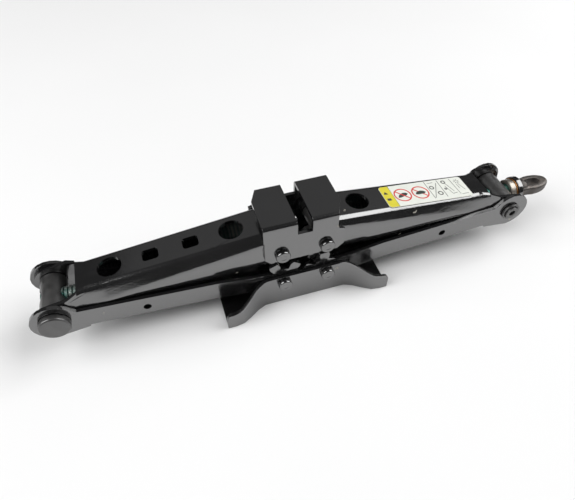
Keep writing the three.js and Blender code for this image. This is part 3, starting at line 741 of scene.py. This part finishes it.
def thread_tree():
    """A core with one helical thread wound on it, along +X from the origin."""
    tree = bpy.data.node_groups.new("Screw thread", "GeometryNodeTree")
    face = tree.interface
    for name, kind in (
        ("Length", "NodeSocketFloat"),
        ("Pitch", "NodeSocketFloat"),
        ("Radius", "NodeSocketFloat"),
        ("Depth", "NodeSocketFloat"),
        ("Finish", "NodeSocketMaterial"),
    ):
        face.new_socket(name=name, in_out="INPUT", socket_type=kind)
    face.new_socket(name="Geometry", in_out="OUTPUT", socket_type="NodeSocketGeometry")
    new = tree.nodes.new
    link = tree.links.new
    given = new("NodeGroupInput").outputs
    result = new("NodeGroupOutput").inputs

    def number(operation, first, second):
        made = new("ShaderNodeMath")
        made.operation = operation
        for socket, value in zip(made.inputs, (first, second)):
            if isinstance(value, bpy.types.NodeSocket):
                link(value, socket)
            else:
                socket.default_value = value
        return made.outputs[0]

    core_radius = number("SUBTRACT", given["Radius"], given["Depth"])
    core = new("GeometryNodeMeshCylinder")
    core.inputs["Vertices"].default_value = TURNED_SIDES
    link(number("ADD", core_radius, THREAD_OVERLAP), core.inputs["Radius"])
    link(given["Length"], core.inputs["Depth"])
    spiral = new("GeometryNodeCurveSpiral")
    spiral.inputs["Resolution"].default_value = THREAD_POINTS
    wound = number("SUBTRACT", given["Length"], given["Pitch"])
    middle_radius = number("SUBTRACT", given["Radius"], number("MULTIPLY", given["Depth"], 0.5))
    link(number("DIVIDE", wound, given["Pitch"]), spiral.inputs["Rotations"])
    link(middle_radius, spiral.inputs["Start Radius"])
    link(middle_radius, spiral.inputs["End Radius"])
    link(wound, spiral.inputs["Height"])
    upright = new("GeometryNodeSetCurveNormal")
    upright.mode = "Z_UP"
    link(spiral.outputs["Curve"], upright.inputs["Curve"])
    section = new("GeometryNodeCurvePrimitiveQuadrilateral")
    section.mode = "TRAPEZOID"
    link(given["Depth"], section.inputs["Height"])
    link(number("MULTIPLY", given["Pitch"], THREAD_ROOT_SHARE), section.inputs["Bottom Width"])
    link(number("MULTIPLY", given["Pitch"], THREAD_CREST_SHARE), section.inputs["Top Width"])
    section.inputs["Offset"].default_value = 0
    turn_section = new("GeometryNodeTransform")
    link(section.outputs["Curve"], turn_section.inputs["Geometry"])
    turn_section.inputs["Rotation"].default_value = (0, 0, math.radians(SECTION_TURN))
    sweep = new("GeometryNodeCurveToMesh")
    link(upright.outputs["Curve"], sweep.inputs["Curve"])
    link(turn_section.outputs["Geometry"], sweep.inputs["Profile Curve"])
    sweep.inputs["Fill Caps"].default_value = True
    lowered = new("GeometryNodeTransform")
    offset = new("ShaderNodeCombineXYZ")
    link(number("MULTIPLY", wound, -0.5), offset.inputs["Z"])
    link(sweep.outputs["Mesh"], lowered.inputs["Geometry"])
    link(offset.outputs["Vector"], lowered.inputs["Translation"])
    both = new("GeometryNodeJoinGeometry")
    link(core.outputs["Mesh"], both.inputs["Geometry"])
    link(lowered.outputs["Geometry"], both.inputs["Geometry"])
    laid = new("GeometryNodeTransform")
    laid.inputs["Rotation"].default_value = (0, math.pi / 2, 0)
    link(both.outputs["Geometry"], laid.inputs["Geometry"])
    real = new("GeometryNodeRealizeInstances")
    link(laid.outputs["Geometry"], real.inputs["Geometry"])
    painted = new("GeometryNodeSetMaterial")
    link(real.outputs["Geometry"], painted.inputs["Geometry"])
    link(given["Finish"], painted.inputs["Material"])
    link(painted.outputs["Geometry"], result["Geometry"])
    return tree


class JACK_OT_lead_screw(bpy.types.Operator):
    """Wind the lead screw's thread on its core, and turn the plain shank"""

    bl_idname = "jack.lead_screw"
    bl_label = "Lead Screw"

    def execute(self, context):
        low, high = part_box("lead_screw")
        radius = sizes_of("lead_screw")[1]
        thread_end = RIGHT_TRUNNION.x - SHANK_START
        length = thread_end - low.x
        piece = new_object("threaded_lead_screw", bmesh.new())
        modifier = piece.modifiers.new("Thread", "NODES")
        modifier.node_group = thread_tree()
        values = {
            "Length": length,
            "Pitch": sizes().thread_pitch,
            "Radius": radius - THREAD_CLEARANCE,
            "Depth": sizes().thread_depth,
            "Finish": material("screw_steel"),
        }
        for item in modifier.node_group.interface.items_tree:
            if item.in_out == "INPUT":
                modifier[item.identifier] = values[item.name]
        apply_modifiers(piece)
        middle = Vector((low.x + length / 2, 0, RIGHT_TRUNNION.z))
        piece.data.transform(Matrix.Translation(middle))
        soften_normals(piece)
        finish_piece(piece, "screw_steel", "screw", "lead_screw")
        corners = [
            (0, thread_end - MM),
            (SHANK_RADIUS, thread_end - MM),
            (SHANK_RADIUS, high.x),
            (0, high.x),
        ]
        centre = Vector((0, 0, RIGHT_TRUNNION.z))
        shank = turned("screw_shank", corners, ALONG_X, centre)
        finish_piece(shank, "screw_steel", "screw")
        return {"FINISHED"}


# Thrust stack.


class JACK_OT_thrust_stack(bpy.types.Operator):
    """Turn the bearing ring, the bronze washer and the collar behind the crank eye"""

    bl_idname = "jack.thrust_stack"
    bl_label = "Thrust Stack"

    def execute(self, context):
        bore = SHANK_RADIUS + SEAT_GAP
        for node, finish in (
            ("thrust_bearing_ring", "bearing_steel"),
            ("bronze_thrust_washer", "bronze"),
            ("crank_collar", "black_enamel"),
        ):
            ring = tube("turned_" + node, node, ALONG_X, bore)
            finish_piece(ring, finish, "screw", node)
        return {"FINISHED"}


# Crank eye.

SMOOTH_FACTOR = 0.5
SMOOTH_PASSES = 5


class JACK_OT_crank_eye(bpy.types.Operator):
    """Forge the crank eye into one soft shape with no sharp edges"""

    bl_idname = "jack.crank_eye"
    bl_label = "Crank Eye"

    def execute(self, context):
        bm = bmesh.new()
        bm.from_mesh(frame["nodes"]["crank_eye"].data)
        bmesh.ops.remove_doubles(bm, verts=bm.verts, dist=WELD)
        piece = new_object("forged_crank_eye", bm)
        remesh = piece.modifiers.new("Remesh", "REMESH")
        remesh.mode = "VOXEL"
        remesh.voxel_size = sizes().forging_grain
        smooth = piece.modifiers.new("Smooth", "SMOOTH")
        smooth.factor = SMOOTH_FACTOR
        smooth.iterations = SMOOTH_PASSES
        apply_modifiers(piece)
        low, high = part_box("crank_eye")
        for vertex in piece.data.vertices:
            for axis in range(3):
                vertex.co[axis] = min(max(vertex.co[axis], low[axis]), high[axis])
        piece.data.polygons.foreach_set("use_smooth", [True] * len(piece.data.polygons))
        finish_piece(piece, "forged_steel", "screw", "crank_eye")
        return {"FINISHED"}


# Label.

LABEL_CORNER = 2.5
INK_HEIGHT = 0.02
YELLOW_END = 8.4
RING_RADIUS = 7.0
RING_LINE = 1.15
THIN_LINE = 0.45
CIRCLE_POINTS = 48
FILM_DEPTH = 0.4
FILM_ROUNDING = 0.1 * MM
PRINT_MARGIN = 0.15
DIVIDER_MARGIN = 0.2
DIVIDER_WIDTH = 0.3
# Every place below is (along, back), in mm: along from the label's left edge, and back
# from its rear edge towards the front.
TRIANGLE = ((1.5, 9.2), (5.3, 9.2), (3.4, 5.9))
PLATE = (1.8, 5.2, 16.6, 14.0)
RINGS_BACK = 12.3
RINGS = ((16.8, 1.3), (33.0, 0.2))
LENS = ((-5.0, -1.2), (-2.6, -2.0), (3.4, -1.7), (5.0, -0.3), (3.2, 1.4), (0.6, 2.2), (-3.2, 1.2))
LENS_HALF_LENGTH = 5
LINES = (
    ((42.0, 0.8), (42.2, 21.5)),
    ((54.0, 0.8), (53.8, 21.5)),
    ((66.0, 1.2), (66.8, 20.6)),
    ((52.0, 4.0), (43.0, 21.0)),
    ((59.6, 5.6), (62.8, 16.4)),
    ((58.0, 9.0), (60.4, 19.0)),
    ((60.4, 19.0), (65.0, 18.2)),
    ((68.0, 20.8), (74.2, 20.8)),
    ((44.0, 3.2), (49.4, 3.0)),
    ((71.0, 8.6), (73.6, 16.2)),
    ((69.2, 8.8), (69.8, 14.0)),
)
SPOKE_HUB = (71.0, 5.6)
SPOKES = 7
SPOKE_START = 20
SPOKE_STEP = 52
SPOKE_END = 2.7
CIRCLES = (
    ((45.4, 8.8), 1.7),
    ((49.9, 16.4), 1.9),
    ((58.8, 4.2), 1.6),
    ((57.0, 12.4), 0.8),
)
INK_LEVELS = 3
INK_LEVEL_STEP = 0.25


def label_plane():
    """The label's length and depth in mm, and a function from its plane to the jack."""
    mesh = frame["nodes"]["instruction_label"].data
    tops = [face for face in mesh.polygons if face.normal.z > FACES_UP]
    normal = sum((face.normal * face.area for face in tops), Vector()).normalized()
    along = (ALONG_X - normal * normal.x).normalized()
    points = [mesh.vertices[i].co for face in tops for i in face.vertices]
    start = min(point.dot(along) for point in points)
    front = min(point.y for point in points)
    height = max(point.dot(normal) for point in points)
    length = (max(point.dot(along) for point in points) - start) / MM
    depth = (max(point.y for point in points) - front) / MM

    def place(u, v, above):
        flat = along * (start + u * MM) + ALONG_Y * (front + v * MM)
        return flat + normal * (height + above * MM)

    return length, depth, place


def rectangle(u0, u1, v0, v1):
    return [(u0, v0), (u1, v0), (u1, v1), (u0, v1)]


def rounded_rectangle(u0, u1, v0, v1, radii):
    """A rectangle whose corners have their own radii, from the front left one round."""
    points = []
    signs = ((-1, -1), (1, -1), (1, 1), (-1, 1))
    for i, ((su, sv), radius) in enumerate(zip(signs, radii)):
        corner = (u1 if su > 0 else u0, v1 if sv > 0 else v0)
        if radius == 0:
            points.append(corner)
            continue
        centre = (corner[0] - su * radius, corner[1] - sv * radius)
        for step in range(7):
            angle = math.radians(180 + 90 * i + 15 * step)
            points.append(
                (centre[0] + radius * math.cos(angle), centre[1] + radius * math.sin(angle))
            )
    return points


def stroke(start, end, width):
    along = (Vector(end) - Vector(start)).normalized() * (width / 2)
    side = Vector((-along.y, along.x))
    a, b = Vector(start), Vector(end)
    return [tuple(a - side), tuple(b - side), tuple(b + side), tuple(a + side)]


def ring_solid(bm, centre, radius, width, place, index):
    """A closed flat ring of ink."""
    levels = []
    for r, z in (
        (radius - width / 2, 0),
        (radius + width / 2, 0),
        (radius + width / 2, INK_HEIGHT),
        (radius - width / 2, INK_HEIGHT),
    ):
        ring = []
        for i in range(CIRCLE_POINTS):
            angle = 2 * math.pi * i / CIRCLE_POINTS
            point = place(centre[0] + r * math.cos(angle), centre[1] + r * math.sin(angle), z)
            ring.append(bm.verts.new(point))
        levels.append(ring)
    for k in range(4):
        first, second = levels[k], levels[(k + 1) % 4]
        for i in range(CIRCLE_POINTS):
            j = (i + 1) % CIRCLE_POINTS
            face = bm.faces.new([first[i], first[j], second[j], second[i]])
            face.material_index = index


class JACK_OT_label(bpy.types.Operator):
    """Lay the label's film on the upper arm, and print plain shapes on it"""

    bl_idname = "jack.label"
    bl_label = "Label"

    def execute(self, context):
        length, depth, place = label_plane()
        bm = bmesh.new()
        outline = rounded_rectangle(0, length, 0, depth, [LABEL_CORNER] * 4)
        prism(bm, outline, -FILM_DEPTH, 0, place)
        film = new_object("label_film", bm)
        bevel = film.modifiers.new("Edges", "BEVEL")
        bevel.width = FILM_ROUNDING
        bevel.segments = 2
        bevel.limit_method = "ANGLE"
        apply_modifiers(film)
        soften_normals(film)
        finish_piece(film, "label_paper", "upper_arm_right", "instruction_label")

        bm = bmesh.new()
        inks = ["ink_yellow", "ink_red", "ink_grey", "ink_dark"]
        yellow, red, grey, dark = range(4)

        def spot(point):
            return (point[0], depth - point[1])

        block = rounded_rectangle(
            PRINT_MARGIN,
            YELLOW_END,
            PRINT_MARGIN,
            depth - PRINT_MARGIN,
            [LABEL_CORNER, 0, 0, LABEL_CORNER],
        )
        prism(bm, block, 0, INK_HEIGHT, place, yellow)
        divider = (YELLOW_END, YELLOW_END + DIVIDER_WIDTH, DIVIDER_MARGIN, depth - DIVIDER_MARGIN)
        left, right, near, far = PLATE
        shapes = [
            (rectangle(*divider), grey),
            ([spot(point) for point in TRIANGLE], dark),
            (rectangle(left, right, depth - near, depth - far), grey),
        ]
        middle_v = depth - RINGS_BACK
        for u, lean in RINGS:
            ring_solid(bm, (u, middle_v), RING_RADIUS, RING_LINE, place, red)
            lens = [(u + x, middle_v + y + lean * x / LENS_HALF_LENGTH) for x, y in LENS]
            shapes.append((lens, dark))
            reach = (RING_RADIUS - RING_LINE / 2) * math.sqrt(0.5)
            bar = stroke((u - reach, middle_v + reach), (u + reach, middle_v - reach), RING_LINE)
            shapes.append((bar, red))
        for start, end in LINES:
            shapes.append((stroke(spot(start), spot(end), THIN_LINE), grey))
        hub = Vector(spot(SPOKE_HUB))
        for k in range(SPOKES):
            angle = math.radians(SPOKE_START + SPOKE_STEP * k)
            tip = Vector((math.cos(angle), math.sin(angle)))
            shapes.append((stroke(hub + tip, hub + tip * SPOKE_END, THIN_LINE), grey))
        for number, (outline, index) in enumerate(shapes):
            above = INK_HEIGHT * (1 + INK_LEVEL_STEP * (number % INK_LEVELS))
            prism(bm, outline, 0, above, place, index)
        for centre, radius in CIRCLES:
            ring_solid(bm, spot(centre), radius, 2 * THIN_LINE, place, grey)
        bmesh.ops.recalc_face_normals(bm, faces=bm.faces)
        ink = new_object("label_print", bm)
        for name in inks:
            ink.data.materials.append(material(name))
        finish_piece(ink, "label_paper", "upper_arm_right")
        return {"FINISHED"}


# Stage.

CAMERA_PLACE = Vector((-88.459, -254.238, 330.633)) * MM
CAMERA_YAW = 0.312
CAMERA_PITCH = 0.847
CAMERA_LENS = 30.965
SENSOR_WIDTH = 36.0
FLOOR_HALF = 6.0
FLOOR_DROP = 0.2 * MM
NEAR_CLIP = 0.01
# Each soft light's place in metres, its width and height, and its power in watts.
SOFTBOXES = {
    "soft_left": ((-1.7, -0.1, 1.5), 2.0, 1.9, 51),
    "soft_right": ((1.7, -0.1, 1.5), 2.0, 1.9, 51),
    "soft_back": ((0.35, 1.5, 1.5), 2.2, 1.4, 1.1),
}
WORLD_LIGHT = 0.05


class JACK_OT_stage(bpy.types.Operator):
    """Set up the pale floor, the soft lights and the camera"""

    bl_idname = "jack.stage"
    bl_label = "Stage"

    def execute(self, context):
        scene = context.scene
        bm = bmesh.new()
        corners = [(-1, -1), (1, -1), (1, 1), (-1, 1)]
        bm.faces.new([bm.verts.new((x * FLOOR_HALF, y * FLOOR_HALF, 0)) for x, y in corners])
        floor = new_object("floor", bm)
        floor.location.z = -FLOOR_DROP
        paint = Finish("floor_paint", 0.9)
        mottle = paint.remap(paint.noise(3, 2), 0.3, 0.7)
        paint.set("Base Color", paint.mix(mottle, (0.86, 0.86, 0.86), (0.88, 0.88, 0.88)))
        floor.data.materials.append(paint.material)

        world = bpy.data.worlds.new("studio")
        world.use_nodes = True
        background = world.node_tree.nodes["Background"]
        background.inputs["Color"].default_value = (1, 1, 1, 1)
        background.inputs["Strength"].default_value = WORLD_LIGHT
        scene.world = world
        for name, (place, width, height, power) in SOFTBOXES.items():
            light = bpy.data.lights.new(name, "AREA")
            light.shape = "RECTANGLE"
            light.size = width
            light.size_y = height
            light.energy = power
            lamp = bpy.data.objects.new(name, light)
            scene.collection.objects.link(lamp)
            lamp.location = place
            lamp.rotation_euler = (-Vector(place)).to_track_quat("-Z", "Y").to_euler()

        data = bpy.data.cameras.new("camera")
        data.lens = CAMERA_LENS
        data.sensor_width = SENSOR_WIDTH
        data.clip_start = NEAR_CLIP
        camera = bpy.data.objects.new("camera", data)
        scene.collection.objects.link(camera)
        ahead = Vector(
            (
                math.sin(CAMERA_YAW) * math.cos(CAMERA_PITCH),
                math.cos(CAMERA_YAW) * math.cos(CAMERA_PITCH),
                -math.sin(CAMERA_PITCH),
            )
        )
        right = Vector((math.cos(CAMERA_YAW), -math.sin(CAMERA_YAW), 0))
        up = right.cross(ahead)
        axes = Matrix((right, up, -ahead)).transposed().to_4x4()
        camera.matrix_world = Matrix.Translation(CAMERA_PLACE) @ axes
        scene.camera = camera
        scene.view_settings.view_transform = "Standard"
        return {"FINISHED"}


class JACK_PT_pieces(bpy.types.Panel):
    """Builds the jack piece by piece"""

    bl_label = "Scissor Jack"
    bl_idname = "JACK_PT_pieces"
    bl_space_type = "VIEW_3D"
    bl_region_type = "UI"
    bl_category = "Jack"

    def draw(self, context):
        for group in (context.scene.jack_sizes, context.scene.jack_finishes):
            for name in group.bl_rna.properties.keys():
                if name not in ("rna_type", "name"):
                    self.layout.prop(group, name)
        for operator in OPERATORS:
            self.layout.operator(operator.bl_idname)


OPERATORS = (
    JACK_OT_stage,
    JACK_OT_pressed_sheets,
    JACK_OT_rivet_pins,
    JACK_OT_nut_trunnion,
    JACK_OT_thrust_trunnion,
    JACK_OT_lead_screw,
    JACK_OT_thrust_stack,
    JACK_OT_crank_eye,
    JACK_OT_label,
)
CLASSES = (JackSizes, JackFinishes, *OPERATORS, JACK_PT_pieces)


def register():
    for cls in CLASSES:
        bpy.utils.register_class(cls)
    bpy.types.Scene.jack_sizes = bpy.props.PointerProperty(type=JackSizes)
    bpy.types.Scene.jack_finishes = bpy.props.PointerProperty(type=JackFinishes)


def unregister():
    del bpy.types.Scene.jack_sizes
    del bpy.types.Scene.jack_finishes
    for cls in reversed(CLASSES):
        bpy.utils.unregister_class(cls)


def main():
    register()
    for operator in OPERATORS:
        module, name = operator.bl_idname.split(".")
        getattr(getattr(bpy.ops, module), name)()


if __name__ == "__main__":
    main()
